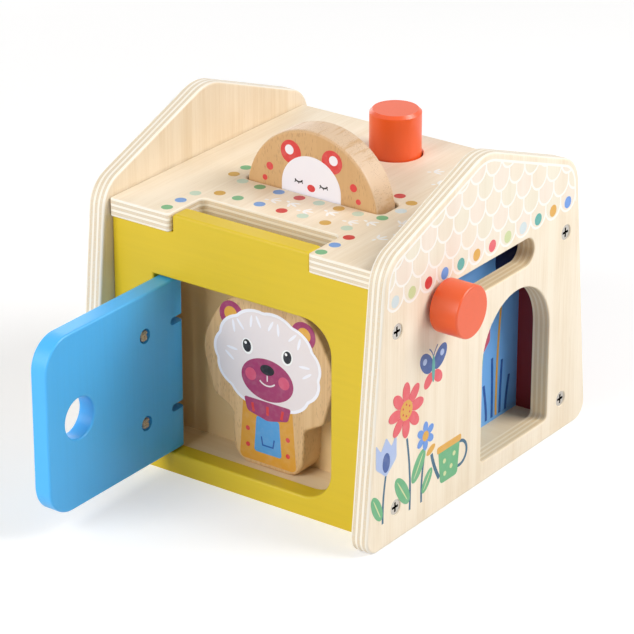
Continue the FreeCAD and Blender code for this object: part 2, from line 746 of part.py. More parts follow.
os.makedirs("parts", exist_ok=True)
for name, make in PIECES.items():
    shape = make()
    shape.exportStep(f"parts/{name}.step")
    print(f"{name}: {shape.Volume / 1000:.1f} cm3, {len(shape.Solids)} solid(s), valid {shape.isValid()}")
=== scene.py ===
import math

import bmesh
import bpy
from mathutils import Matrix, Vector


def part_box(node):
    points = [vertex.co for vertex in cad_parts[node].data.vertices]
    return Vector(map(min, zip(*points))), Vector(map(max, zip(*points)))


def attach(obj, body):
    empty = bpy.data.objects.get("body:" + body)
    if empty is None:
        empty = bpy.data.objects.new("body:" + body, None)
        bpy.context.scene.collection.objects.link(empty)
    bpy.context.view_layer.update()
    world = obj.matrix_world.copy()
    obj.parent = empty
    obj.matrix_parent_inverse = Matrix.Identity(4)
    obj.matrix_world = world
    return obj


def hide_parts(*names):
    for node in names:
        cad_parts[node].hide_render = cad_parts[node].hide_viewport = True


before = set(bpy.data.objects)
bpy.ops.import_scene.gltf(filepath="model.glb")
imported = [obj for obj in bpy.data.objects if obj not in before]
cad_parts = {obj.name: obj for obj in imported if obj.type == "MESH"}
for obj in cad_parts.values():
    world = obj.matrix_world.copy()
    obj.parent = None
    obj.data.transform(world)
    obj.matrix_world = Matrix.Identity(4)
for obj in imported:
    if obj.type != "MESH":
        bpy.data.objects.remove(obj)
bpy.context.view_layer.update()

bl_info = {
    "name": "Plywood Farmhouse Toy",
    "version": (1, 0, 0),
    "blender": (4, 5, 0),
    "location": "View3D > Sidebar > Farmhouse",
    "description": "Finishes, printed pictures, cord knots and studio for a small plywood farmhouse toy",
    "category": "Add Mesh",
}

MM = 0.001

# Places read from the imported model, in millimetres
HOUSE_LOW, HOUSE_HIGH = (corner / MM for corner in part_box("side_panel_right"))
ROOF_LOW, ROOF_HIGH = (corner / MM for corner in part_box("roof_board"))
FIGURE_LOW, FIGURE_HIGH = (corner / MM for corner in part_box("front_figure"))
SLIDER_LOW, SLIDER_HIGH = (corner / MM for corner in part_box("slider_figure"))
BLOCK_LOW, BLOCK_HIGH = (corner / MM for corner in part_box("pop_up_block"))
BOARD_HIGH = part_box("channel_board")[1] / MM
SCREW_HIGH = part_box("side_screws_right")[1] / MM
BOARD = ROOF_HIGH.z - ROOF_LOW.z

# Where the openings of the right side lie, in metres: how far along the board, and their lowest and
# highest edges, each as the two places between which the browner edge colour, a painted shade, fades
OPENINGS_REACH = (0.073, 0.068)
OPENINGS_FOOT = (0.004, 0.008)
OPENINGS_TOP = (0.126, 0.120)

WASH = 0.5  # strength of the thin inks over the shingles
SUNK = 0.02  # how far every ink reaches into its board, so that no gap shows

# Directions across, up and out of each printed face
RIGHT_FACE = (Vector((0, 1, 0)), Vector((0, 0, 1)), Vector((1, 0, 0)))
FRONT_FACE = (Vector((1, 0, 0)), Vector((0, 0, 1)), Vector((0, -1, 0)))
TOP_FACE = (Vector((1, 0, 0)), Vector((0, 1, 0)), Vector((0, 0, 1)))


def hue(name, value, text):
    """A colour as a screen shows it."""
    return bpy.props.FloatVectorProperty(
        name=name, description=text, subtype="COLOR_GAMMA", size=3, min=0.0, max=1.0, default=value
    )


def number(name, value, text, **settings):
    """A plain number, or an angle or a measure where the settings say so."""
    return bpy.props.FloatProperty(name=name, description=text, default=value, **settings)


def length(name, value, text):
    """A length in metres, given here in millimetres."""
    return number(name, value * MM, text, min=0.0, unit="LENGTH", precision=5)


class WoodSettings(bpy.types.PropertyGroup):
    birch: hue("Birch face", (0.975, 0.925, 0.840), "Pale wood of the birch boards")
    birch_streak: hue("Birch streak", (0.885, 0.800, 0.665), "Darker grain of the birch boards")
    ply_light: hue("Light ply", (0.965, 0.945, 0.905), "Long-grain layers in the boards' edges")
    ply_dark: hue("Dark ply", (0.882, 0.842, 0.768), "End-grain layers in the boards' edges")
    glue: hue("Glue line", (0.720, 0.655, 0.550), "Thin lines between the layers")
    # Darker birch for the boards inside: partly bare wood, partly painted shade of the compartment
    bare_and_painted_shade: hue("Bare birch", (0.940, 0.810, 0.590), "Unlacquered birch of the boards inside")
    # Painted shade: browner colour for the edges inside the window and the slot, which lie in shade
    painted_opening_shade: hue("Routed edge", (0.985, 0.835, 0.550), "Edges of the window and the slot")
    cream: hue("Cream wash", (0.940, 0.905, 0.845), "Thin ink over the first shingles")
    rose: hue("Rose wash", (0.950, 0.900, 0.868), "Thin ink over the second shingles")
    moss: hue("Moss wash", (0.920, 0.912, 0.845), "Thin ink over the third shingles")
    beech: hue("Beech", (0.875, 0.732, 0.530), "Main colour of the beech pieces")
    beech_streak: hue("Beech streak", (0.775, 0.605, 0.405), "Darker grain of the beech pieces")
    beech_side: hue("Beech side", (0.865, 0.760, 0.645), "Rim of the half-disc, cut across the grain")
    beech_fleck: hue("Beech fleck", (0.520, 0.345, 0.195), "Short dark flecks of the beech pieces")
    plies: bpy.props.IntProperty(name="Plies", description="Layers in a birch board", default=7, min=3)
    ply_thickness: length("Board thickness", BOARD, "Thickness of the birch boards")


class PaintSettings(bpy.types.PropertyGroup):
    yellow: hue("Yellow", (0.862, 0.745, 0.145), "Front panel")
    maroon: hue("Maroon", (0.520, 0.110, 0.110), "Back panel")
    door_blue: hue("Door blue", (0.280, 0.720, 0.990), "Door leaf")
    sky_blue: hue("Sky blue", (0.450, 0.700, 0.960), "Board behind the sliding figure")
    orange: hue("Orange", (0.930, 0.335, 0.045), "Button and knob")


class PrintSettings(bpy.types.PropertyGroup):
    red: hue("Red", (0.830, 0.235, 0.235), "Red ink")
    coral: hue("Coral", (0.900, 0.365, 0.400), "Coral ink")
    ochre: hue("Ochre", (0.880, 0.660, 0.260), "Ochre ink")
    lime: hue("Lime", (0.810, 0.850, 0.630), "Pale green ink")
    teal: hue("Teal", (0.340, 0.670, 0.640), "Teal ink")
    blue: hue("Blue", (0.400, 0.590, 0.880), "Light blue ink")
    pale: hue("Pale blue", (0.830, 0.880, 0.890), "Palest blue ink")
    sage: hue("Sage", (0.430, 0.680, 0.480), "Green dots on the roof")
    haze: hue("Haze", (0.430, 0.610, 0.840), "Blue dots on the roof")
    mint: hue("Mint", (0.760, 0.840, 0.760), "Mint dots on the roof")
    mustard: hue("Mustard", (0.810, 0.630, 0.240), "Ochre dots on the roof")
    brick: hue("Brick", (0.790, 0.205, 0.185), "Red dots on the roof")
    leaf: hue("Leaf", (0.400, 0.690, 0.490), "Green of the leaves and the watering can")
    navy: hue("Navy", (0.230, 0.350, 0.610), "Navy ink")
    steel_blue: hue("Steel blue", (0.180, 0.380, 0.490), "Handle and spout of the watering can")
    periwinkle: hue("Periwinkle", (0.690, 0.760, 0.910), "Periwinkle ink")
    white: hue("White", (0.975, 0.970, 0.960), "White ink")
    milk: hue("Milk", (0.930, 0.920, 0.955), "Cool white of the figure in the half-disc")
    shingle: hue("Shingle edge", (0.985, 0.970, 0.940), "White lines round the shingles")
    plum: hue("Plum", (0.630, 0.220, 0.400), "Plum ink")
    pink: hue("Pink", (0.820, 0.330, 0.450), "Pink ink")
    wool: hue("Wool", (0.915, 0.875, 0.875), "Warm white ink")
    wool_line: hue("Wool line", (0.960, 0.955, 0.985), "Cool white tufts on the warm white")
    black: hue("Black", (0.090, 0.070, 0.090), "Black ink")
    mustard_coat: hue("Coat", (0.850, 0.610, 0.210), "Coat of the figure behind the door")
    apron: hue("Apron", (0.330, 0.620, 0.850), "Apron of the figure behind the door")
    # Painted shade: the dark tree crown sits where the slot's end lies in shadow
    night: hue("Night", (0.075, 0.180, 0.380), "Crown of the tree on the blue board")
    reed: hue("Reed", (0.050, 0.330, 0.660), "Deep blue ink")
    ink: length("Ink height", 0.05, "How far the lowest ink stands off its board")
    layer: length("Ink layer", 0.03, "How far each further layer of ink stands off the last")
    side_dot: length("Side dot", 3.15, "Radius of the dots along the eaves of the right side")
    roof_dot: length("Roof dot", 2.95, "Radius of the dots on the roof board")
    shingle_pitch: length("Shingle pitch", 13.9, "Distance between shingles in a row")
    shingle_rise: length("Shingle rise", 10.45, "Distance between rows of shingles")
    shingle_line: length("Shingle line", 1.25, "Width of the white lines round the shingles")


class CordSettings(bpy.types.PropertyGroup):
    cord: hue("Cord", (0.900, 0.850, 0.740), "Elastic cord")
    shadow: hue("Cord shadow", (0.430, 0.330, 0.240), "Lines between the cord's strands")
    radius: length("Cord radius", 1.5, "Radius of the elastic cord")
    knot_radius: length("Knot strand", 1.05, "Radius of the cord where it is pulled tight")
    knot_size: length("Knot size", 0.70, "Size of the knot's loops")


class StageSettings(bpy.types.PropertyGroup):
    camera: bpy.props.FloatVectorProperty(
        name="Camera", description="Place of the camera", subtype="TRANSLATION", unit="LENGTH", size=3,
        default=(0.89247, -1.24960, 0.75872)
    )
    elevation: number("Elevation", math.radians(24.20), "Downward angle of the camera", subtype="ANGLE")
    azimuth: number("Azimuth", math.radians(35.89), "Turn of the camera about the house", subtype="ANGLE")
    lens: number("Lens", 187.76, "Focal length on a 36 mm sensor", unit="CAMERA")
    floor: number("Floor", 8.0, "Side of the square floor", unit="LENGTH")
    paper: hue("Paper", (0.870, 0.870, 0.870), "Colour of the floor and the backdrop")
    daylight: number("Daylight", 0.20, "Strength of the light from all round", min=0.0)
    key: number("Key lamp", 17.5, "Power of the main lamp", min=0.0)
    fill: number("Fill lamp", 18.5, "Power of the fill lamp", min=0.0)
    rear: number("Rear lamp", 5.5, "Power of the rear lamp", min=0.0)


def linear(colour, share=1.0):
    """A colour as a screen shows it, made linear for a shader and dimmed to a share of itself."""
    steps = [c / 12.92 if c <= 0.04045 else ((c + 0.055) / 1.055) ** 2.4 for c in colour]
    return (*(step * share for step in steps), 1.0)


class Nodes:
    """A tree of shader nodes and short ways to add to it."""

    def __init__(self, tree):
        self.tree = tree

    def add(self, kind, sockets=None, **settings):
        node = self.tree.nodes.new(kind)
        for name, value in settings.items():
            setattr(node, name, value)
        for name, value in (sockets or {}).items():
            self.join(node.inputs[name], value)
        return node

    def join(self, socket, value):
        if isinstance(value, bpy.types.NodeSocket):
            self.tree.links.new(value, socket)
        else:
            socket.default_value = value

    def maths(self, operation, a, b=0.0, clamp=False):
        return self.add("ShaderNodeMath", {0: a, 1: b}, operation=operation, use_clamp=clamp).outputs[0]

    def times(self, a, b):
        return self.maths("MULTIPLY", a, b)

    def summed(self, *parts):
        """Adds up values, each with its own weight."""
        total = None
        for value, weight in parts:
            part = self.times(value, weight)
            total = part if total is None else self.maths("ADD", total, part)
        return total

    def ranged(self, value, low, high):
        """Runs from low to high as the value runs from 0 to 1."""
        return self.add("ShaderNodeMapRange", {"Value": value, "To Min": low, "To Max": high}).outputs[0]

    def unlit(self):
        """1 for rays that see a surface itself, straight, in a mirror or through glass."""
        rays = self.add("ShaderNodeLightPath")
        value = rays.outputs["Is Camera Ray"]
        for name in ("Is Glossy Ray", "Is Transmission Ray"):
            value = self.maths("MAXIMUM", value, rays.outputs[name])
        return value


class Finish(Nodes):
    """A material and the nodes that colour it."""

    def __init__(self, name):
        self.material = bpy.data.materials.new(name)
        self.material.use_nodes = True
        super().__init__(self.material.node_tree)
        self.shader = self.tree.nodes["Principled BSDF"]
        self.place = self.add("ShaderNodeTexCoord").outputs["Object"]

    def stretched(self, scale, shift=(0.0, 0.0, 0.0)):
        sockets = {"Vector": self.place, "Scale": scale, "Location": shift}
        return self.add("ShaderNodeMapping", sockets).outputs["Vector"]

    def noise(self, scale, detail=3.0, roughness=0.5, distortion=0.0, shift=(0.0, 0.0, 0.0)):
        """Noise with the given number of grains per metre, alike on every axis or one number for each."""
        scale = scale if isinstance(scale, tuple) else (scale, scale, scale)
        sockets = {
            "Vector": self.stretched(scale, shift), "Scale": 1.0, "Detail": detail,
            "Roughness": roughness, "Distortion": distortion,
        }
        return self.add("ShaderNodeTexNoise", sockets).outputs["Fac"]

    def between(self, value, low, high):
        """Fades from 0 at low to 1 at high."""
        sockets = {"Value": value, "From Min": low, "From Max": high}
        return self.add("ShaderNodeMapRange", sockets, interpolation_type="SMOOTHSTEP").outputs["Result"]

    def mixed(self, factor, a, b):
        node = self.add("ShaderNodeMix", data_type="RGBA")
        for index, value in zip((0, 6, 7), (factor, a, b)):
            self.join(node.inputs[index], value)
        return node.outputs[2]

    def axis(self, vector, name):
        """One axis of a vector, by its letter."""
        return self.add("ShaderNodeSeparateXYZ", {"Vector": vector}).outputs[name.upper()]

    def facing(self, name):
        """1 where the surface faces along an axis, either way, and 0 where it runs along it."""
        normal = self.add("ShaderNodeNewGeometry").outputs["Normal"]
        return self.maths("ABSOLUTE", self.axis(normal, name))

    def bumped(self, height, strength, distance):
        sockets = {"Height": height, "Strength": strength, "Distance": distance}
        self.put("Normal", self.add("ShaderNodeBump", sockets).outputs["Normal"])

    def put(self, name, value):
        """Sets or links one of the shader's own sockets."""
        self.join(self.shader.inputs[name], value)

    def colour(self, value):
        self.put("Base Color", value)

    def dull(self, value, low, high):
        """Lets the roughness run from low to high with a value."""
        self.put("Roughness", self.ranged(value, low, high))


def along(axis, fast, slow):
    """Noise scale that runs long along one axis: slow grains there, fast ones across it."""
    return tuple(slow if name == axis else fast for name in "xyz")


def layered(grain_axis, slow, layer_axis, fast, other):
    """Noise scale of layered wood: one number along the grain, one across the layers and one for the rest."""
    return tuple({grain_axis: slow, layer_axis: fast}.get(name, other) for name in "xyz")


def birch_finish(name, thickness_axis, origin, grain_axis, warmth_and_painted_shade=0.0, wash=None, bare_and_painted_shade=0.0, painted_opening_shade=0.0):
    """Lacquered birch board: a pale veneer on both faces and layers of ply in its edges.

    Openings well inside the board's outline have browner edges, a painted shade, where that amount is given."""
    wood = bpy.context.scene.farm_wood
    birch, streak, glue = linear(wood.birch), linear(wood.birch_streak), linear(wood.glue)
    finish = Finish(name)
    fibre = finish.noise(along(grain_axis, 950.0, 22.0), 4.0, 0.65, 0.3)
    broad = finish.noise(along(grain_axis, 110.0, 5.0), 3.0, 0.55, 0.4, (3.1, 1.7, 0.4))
    cloud = finish.noise(22.0, 2.0, shift=(0.6, 4.2, 1.3))
    grain = finish.summed((fibre, 0.30), (broad, 0.45), (cloud, 0.25))
    # The warmth share darkens the face towards the streak colour; on the boards inside it is partly painted
    # shade
    amount = finish.maths("ADD", finish.times(finish.between(grain, 0.38, 0.66), 0.55), warmth_and_painted_shade, True)
    face = finish.mixed(amount, birch, streak)
    pores = finish.between(finish.noise(along(grain_axis, 1700.0, 90.0), 2.0, 0.6), 0.62, 0.76)
    face = finish.mixed(finish.times(pores, 0.22), face, glue)
    if wash is not None:
        face = finish.mixed(WASH, face, linear(wash))
    # Partly painted shade: a darker birch blended into the boards inside
    if bare_and_painted_shade:
        face = finish.mixed(bare_and_painted_shade, face, linear(wood.bare_and_painted_shade))

    depth = finish.maths("SUBTRACT", finish.axis(finish.place, thickness_axis), origin * MM)
    wander = finish.maths("SUBTRACT", finish.noise(35.0, 2.0), 0.5)
    depth = finish.maths("ADD", depth, finish.times(wander, 0.0005))
    ply = finish.times(depth, wood.plies / wood.ply_thickness)
    swing = finish.maths("SINE", finish.times(ply, math.pi))
    light = finish.between(swing, -0.10, 0.10)
    strand = finish.noise(along(thickness_axis, 60.0, 2200.0), 3.0, 0.6)
    speck = finish.noise(1500.0, 2.0, 0.6)
    pale = finish.mixed(finish.between(strand, 0.35, 0.70), linear(wood.ply_light), birch)
    dark = finish.mixed(finish.between(speck, 0.35, 0.65), linear(wood.ply_dark), streak)
    edge = finish.mixed(light, dark, pale)
    seam = finish.between(finish.maths("ABSOLUTE", swing), 0.22, 0.05)
    edge = finish.mixed(finish.times(seam, 0.60), edge, glue)
    # Painted shade: edges inside the openings turn browner, as they look in shade
    if painted_opening_shade:
        run, height = finish.maths("ABSOLUTE", finish.axis(finish.place, "y")), finish.axis(finish.place, "z")
        inside = finish.times(finish.between(height, *OPENINGS_FOOT), finish.between(height, *OPENINGS_TOP))
        inside = finish.times(inside, finish.between(run, *OPENINGS_REACH))
        edge = finish.mixed(finish.times(inside, painted_opening_shade), edge, linear(wood.painted_opening_shade))
    is_edge = finish.between(finish.facing(thickness_axis), 0.93, 0.72)
    finish.colour(finish.mixed(is_edge, face, edge))
    finish.dull(broad, 0.40, 0.50)
    finish.bumped(finish.summed((fibre, 0.5), (finish.times(light, is_edge), 0.8)), 0.12, 0.0002)
    return finish.material


def beech_finish(name, grain_axis, layer_axis, face_axis=None, depth=0.0):
    """Lacquered beech: growth layers that show as lines on two sides, and short dark flecks.

    Sides that face away from face_axis are cut across the grain and paler. Depth darkens the wood."""
    wood = bpy.context.scene.farm_wood
    streak = linear(wood.beech_streak)
    finish = Finish(name)
    scale = layered(grain_axis, 9.0, layer_axis, 420.0, 34.0)
    lines = finish.noise(scale, 4.0, 0.62, 0.3)
    cloud = finish.noise(tuple(s / 9.0 for s in scale), 2.0, shift=(2.0, 5.0, 1.0))
    tone = finish.summed((lines, 0.55), (cloud, 0.45))
    colour = finish.mixed(finish.times(finish.between(tone, 0.36, 0.66), 0.75), linear(wood.beech), streak)
    colour = finish.mixed(depth, colour, streak)
    if face_axis:
        side = finish.times(finish.between(finish.facing(face_axis), 0.85, 0.45), 0.8)
        bands = finish.times(finish.between(lines, 0.52, 0.64), 0.7)
        colour = finish.mixed(side, colour, finish.mixed(bands, linear(wood.beech_side), streak))
    flecks = finish.add("ShaderNodeTexVoronoi", {
        "Vector": finish.stretched(layered(grain_axis, 240.0, layer_axis, 2100.0, 1700.0)),
        "Scale": 1.0, "Randomness": 1.0,
    }, feature="F1")
    marks = finish.between(flecks.outputs["Distance"], 0.34, 0.16)
    some = finish.between(finish.noise((160.0, 160.0, 90.0), 2.0, shift=(7.0, 0.0, 2.0)), 0.40, 0.56)
    marks = finish.times(finish.times(marks, some), 0.60)
    finish.colour(finish.mixed(marks, colour, linear(wood.beech_fleck)))
    finish.dull(lines, 0.42, 0.55)
    finish.bumped(finish.maths("SUBTRACT", lines, marks), 0.10, 0.0002)
    finish.put("Specular IOR Level", 0.75)
    return finish.material


def paint_finish(name, colour, grain_axis, roughness=0.42, gloss=0.45):
    """Satin paint on wood: faint drift in colour, with the grain just showing through."""
    finish = Finish(name)
    drift = finish.noise(14.0, 3.0)
    grain = finish.noise(along(grain_axis, 420.0, 16.0), 3.0, 0.6, 0.2)
    peel = finish.noise(900.0, 2.0, 0.55)
    tone = finish.between(finish.summed((drift, 0.6), (grain, 0.4)), 0.35, 0.68)
    finish.colour(finish.mixed(tone, linear(colour), linear(colour, 0.95)))
    finish.dull(drift, roughness - 0.05, roughness + 0.06)
    finish.bumped(finish.summed((grain, 0.7), (peel, 0.3)), 0.07, 0.00015)
    finish.put("Specular IOR Level", gloss)
    return finish.material


def ink_finish(name, colour):
    """Printed ink: even, with a faint drift and the wood's fine grain under it."""
    finish = Finish(name)
    mottle = finish.noise(260.0, 3.0, 0.6)
    grain = finish.noise((900.0, 900.0, 40.0), 3.0, 0.6)
    base = linear(colour)
    lifted = (*(c + (0.9 - c) * 0.05 for c in base[:3]), 1.0)
    finish.colour(finish.mixed(finish.between(mottle, 0.40, 0.75), base, lifted))
    finish.put("Roughness", 0.44)
    finish.bumped(grain, 0.05, 0.00005)
    return finish.material


def steel_finish(name, colour, roughness, recess=None):
    """Plated steel with fine turning marks, and painted shade, near black, in the recess under the given
    place along X.
    """
    finish = Finish(name)
    marks = finish.noise(2400.0, 2.0, 0.6)
    tone = finish.mixed(marks, linear(colour), linear(colour, 0.72))
    if recess is not None:
        # Painted shade: near black below the head's face, where the cross slots lie in shadow
        across = finish.maths("ABSOLUTE", finish.axis(finish.place, "x"))
        depth = finish.maths("SUBTRACT", recess * MM, across)
        tone = finish.mixed(finish.between(depth, 0.00003, 0.00012), tone, (0.01, 0.01, 0.01, 1.0))
    finish.colour(tone)
    finish.dull(marks, roughness - 0.06, roughness + 0.10)
    finish.put("Metallic", 1.0)
    finish.bumped(marks, 0.08, 0.0001)
    return finish.material


def cord_finish(name, colour, shadow):
    """Braided elastic: fine crossing ribs from two slanted bands."""
    finish = Finish(name)
    ribs = []
    for slant in ((1500.0, 1000.0, 1500.0), (1500.0, -1000.0, -1500.0)):
        sockets = {"Vector": finish.stretched(slant), "Scale": 1.0, "Distortion": 0.6}
        ribs.append(finish.add("ShaderNodeTexWave", sockets, bands_direction="DIAGONAL").outputs["Fac"])
    braid = finish.times(*ribs)
    finish.colour(finish.mixed(finish.between(braid, 0.02, 0.22), linear(shadow), linear(colour)))
    finish.put("Roughness", 0.8)
    finish.bumped(braid, 0.5, 0.0003)
    return finish.material


def dress(material, *names):
    """Gives carried-over pieces their finish."""
    for name in names:
        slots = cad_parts[name].data.materials
        slots.clear()
        slots.append(material)


def stand(name, data):
    """Adds an object to the scene."""
    item = bpy.data.objects.new(name, data)
    bpy.context.collection.objects.link(item)
    return item


def solid(name, mesh, material):
    """Makes an object of one material from a finished bmesh, in metres."""
    data = bpy.data.meshes.new(name)
    mesh.to_mesh(data)
    mesh.free()
    data.materials.append(material)
    return stand(name, data)


def settle(piece, body):
    """Lets a new piece ride on its body."""
    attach(piece, body)
    return piece


class Print:
    """Flat shapes of one ink of a picture, in millimetres across and up its face."""

    def __init__(self, name, material, layer):
        self.name = name
        self.material = material
        self.layer = layer
        self.mesh = bmesh.new()

    def disc(self, across, up, radius, tall=None, turn=0.0, segments=44):
        """A circle, or an oval when tall is given, turned by degrees."""
        place = Matrix.Translation((across, up, 0)) @ Matrix.Rotation(math.radians(turn), 4, "Z")
        place = place @ Matrix.Diagonal((radius, tall or radius, 1, 1))
        bmesh.ops.create_circle(self.mesh, cap_ends=True, segments=segments, radius=1.0, matrix=place)
        return self

    def discs(self, places, radius):
        """Circles of one size."""
        for place in places:
            self.disc(*place, radius)
        return self

    def pair(self, middle, across, up, radius, tall=None, turn=0.0):
        """Two discs, alike on both sides of a middle line."""
        for side in (-1, 1):
            self.disc(middle + side * across, up, radius, tall, side * turn)
        return self

    def petals(self, middle, reach, length, width, count, segments=32):
        """Ovals that point out from a middle, the first one straight up."""
        for i in range(count):
            turn = math.tau * i / count + math.pi / 2
            place = (middle[0] + reach * math.cos(turn), middle[1] + reach * math.sin(turn))
            self.disc(*place, length, width, math.degrees(turn), segments)
        return self

    def patch(self, corners, rounding=0.0):
        """A shape with a few corners, each rounded."""
        points = [self.mesh.verts.new((across, up, 0)) for across, up in corners]
        self.mesh.faces.new(points)
        if rounding:
            bmesh.ops.bevel(self.mesh, geom=points, offset=rounding, offset_type="OFFSET", segments=8,
                            profile=0.5, affect="VERTICES", clamp_overlap=True, material=-1)
        return self

    def line(self, points, width):
        """A band of even width along a path."""
        path = [Vector((*point, 0)) for point in points]
        edge = None
        for before, here, after in zip([path[0]] + path, path, path[1:] + [path[-1]]):
            heading = ((here - before).normalized() + (after - here).normalized()).normalized()
            run = (after - here).normalized() if after != here else (here - before).normalized()
            side = Vector((-heading.y, heading.x, 0)) * (width / 2 / max(heading.dot(run), 0.4))
            if edge is None:
                ends = [self.mesh.verts.new(here + side), self.mesh.verts.new(here - side)]
                edge = self.mesh.edges.new(ends)
                continue
            made = bmesh.ops.extrude_edge_only(self.mesh, edges=[edge])["geom"]
            fresh = [item for item in made if isinstance(item, bmesh.types.BMVert)]
            edge = next(item for item in made if isinstance(item, bmesh.types.BMEdge) and
                        all(v in fresh for v in item.verts))
            fresh.sort(key=lambda v: (v.co - ends[0].co).length)
            ends = fresh
            ends[0].co = here + side
            ends[1].co = here - side
        return self

    def finish(self, face, height, body, slot):
        """Gives the shapes their thickness, puts them on their face and lets them ride."""
        settings = bpy.context.scene.farm_print
        top = (settings.ink + settings.layer * self.layer) / MM
        mesh = self.mesh
        bmesh.ops.remove_doubles(mesh, verts=mesh.verts[:], dist=0.001)
        bmesh.ops.recalc_face_normals(mesh, faces=mesh.faces[:])
        for shape in mesh.faces[:]:
            if shape.normal.z < 0:
                shape.normal_flip()
        raised = bmesh.ops.extrude_face_region(mesh, geom=mesh.faces[:])["geom"]
        verts = [item for item in raised if isinstance(item, bmesh.types.BMVert)]
        bmesh.ops.translate(mesh, verts=mesh.verts[:], vec=(0, 0, -SUNK))
        bmesh.ops.translate(mesh, verts=verts, vec=(0, 0, top + SUNK))
        bmesh.ops.recalc_face_normals(mesh, faces=mesh.faces[:])
        place = Matrix(face).transposed().to_4x4()
        place.translation = face[-1] * height
        place = Matrix.Scale(MM, 4) @ place
        bmesh.ops.transform(mesh, matrix=place, verts=mesh.verts[:])
        settle(solid(self.name, mesh, self.material), body)


class Picture:
    """A picture in several inks on one face of a piece, with an object for each ink."""

    def __init__(self, prefix, face, height, body, slot):
        self.prefix = prefix
        self.place = (face, height, body, slot)
        self.prints = []

    def add(self, name, material, layer=0):
        self.prints.append(Print(self.prefix + name, material, layer))
        return self.prints[-1]

    def ink(self, name, ink, layer=0):
        """A print in a named ink, whose material is made once."""
        title = "ink_" + ink
        settings = bpy.context.scene.farm_print
        material = bpy.data.materials.get(title) or ink_finish(title, getattr(settings, ink))
        return self.add(name, material, layer)

    def finish(self):
        for piece in self.prints:
            piece.finish(*self.place)
        return {"FINISHED"}


def mirrored(middle, half):
    """An outline from its left half, given by distances from the middle line and heights."""
    left = [(middle - across, up) for across, up in half]
    return left + [(middle + across, up) for across, up in reversed(half) if across]


def arc_points(across, up, radius, start, end, steps, tall=None):
    """Points along part of a circle or an oval, with angles in degrees."""
    angles = [math.radians(start + (end - start) * i / steps) for i in range(steps + 1)]
    return [(across + radius * math.cos(a), up + (tall or radius) * math.sin(a)) for a in angles]


def lobed(across, up, wide, tall, depth, lobes):
    """The outline of an oval with soft lobes all round."""
    places = []
    for i in range(12 * lobes):
        turn = math.tau * i / (12 * lobes)
        reach = 1.0 - depth / 3 + depth * abs(math.sin(lobes * turn / 2 + 0.4)) ** 0.7
        places.append((across + wide * reach * math.cos(turn), up + tall * reach * math.sin(turn)))
    return places


def bend(corners):
    """A smooth path through the start, near the middle and through the end of three places."""
    start, middle, end = (Vector(corner) for corner in corners)
    steps = [i / 8 for i in range(9)]
    return [tuple(start * (1 - t) ** 2 + middle * 2 * t * (1 - t) + end * t * t) for t in steps]


class FARM_OT_birch_boards(bpy.types.Operator):
    """Birch veneer and ply edges for the unpainted boards"""
    bl_idname = "farm.birch_boards"
    bl_label = "Birch boards"

    def execute(self, context):
        # The right side's window and slot edges get the browner painted shade
        dress(birch_finish("birch_right_side", "x", HOUSE_LOW.x, "z", painted_opening_shade=0.42), "side_panel_right")
        dress(birch_finish("birch_left_side", "x", -HOUSE_HIGH.x, "z", 0.36), "side_panel_left")
        dress(birch_finish("birch_roof", "z", ROOF_LOW.z, "y", 0.06), "roof_board")
        # The floor and the wall inside get darker, browner birch, partly painted shade of the compartment
        dress(birch_finish("birch_floor", "z", 0.0, "x", 0.30, bare_and_painted_shade=0.45), "floor_board")
        dress(birch_finish("birch_wall", "y", FIGURE_HIGH.y, "x", 0.55, bare_and_painted_shade=0.80), "compartment_wall")
        return {"FINISHED"}


class FARM_OT_painted_boards(bpy.types.Operator):
    """Satin paint for the front, the back, the door and the board in the channel"""
    bl_idname = "farm.painted_boards"
    bl_label = "Painted boards"

    def execute(self, context):
        paint = context.scene.farm_paint
        dress(paint_finish("paint_yellow", paint.yellow, "x"), "front_panel")
        dress(paint_finish("paint_maroon", paint.maroon, "x"), "back_panel")
        dress(paint_finish("paint_door_blue", paint.door_blue, "z", 0.38, 0.6), "door")
        dress(paint_finish("paint_sky_blue", paint.sky_blue, "z"), "channel_board")
        return {"FINISHED"}


class FARM_OT_beech_pieces(bpy.types.Operator):
    """Beech for the figures, the half-disc and the works under the roof"""
    bl_idname = "farm.beech_pieces"
    bl_label = "Beech pieces"

    def execute(self, context):
        upright = beech_finish("beech_upright", "z", "x")
        dress(beech_finish("beech_half_disc", "z", "x", "y", 0.7), "pop_up_block")
        dress(upright, "front_figure", "block_guide_left", "block_guide_right")
        dress(upright, "pivot_bracket_left", "pivot_bracket_right")
        dress(beech_finish("beech_slider", "z", "y"), "slider_figure", "button_collar")
        dress(beech_finish("beech_lever", "y", "z"), "rocker_lever")
        return {"FINISHED"}


class FARM_OT_turned_pieces(bpy.types.Operator):
    """Orange paint for the button, the knob and its stem"""
    bl_idname = "farm.turned_pieces"
    bl_label = "Turned pieces"

    def execute(self, context):
        paint = context.scene.farm_paint
        dress(paint_finish("paint_button", paint.orange, "z", 0.34, 0.8), "push_button")
        dress(paint_finish("paint_knob", paint.orange, "x", 0.34, 0.8), "slide_knob", "knob_stem")
        return {"FINISHED"}


class FARM_OT_hardware(bpy.types.Operator):
    """Plated steel for the screws and the axle"""
    bl_idname = "farm.hardware"
    bl_label = "Hardware"

    def execute(self, context):
        # The cross slots of the shown screws get painted shade
        screws = steel_finish("zinc_screws", (0.80, 0.78, 0.75), 0.24, SCREW_HIGH.x)
        dress(screws, "side_screws_left", "side_screws_right")
        dress(steel_finish("zinc_hidden_screws", (0.80, 0.78, 0.75), 0.24), "figure_screws", "knob_screw")
        dress(steel_finish("drawn_axle", (0.78, 0.78, 0.80), 0.22), "rocker_axle")
        return {"FINISHED"}


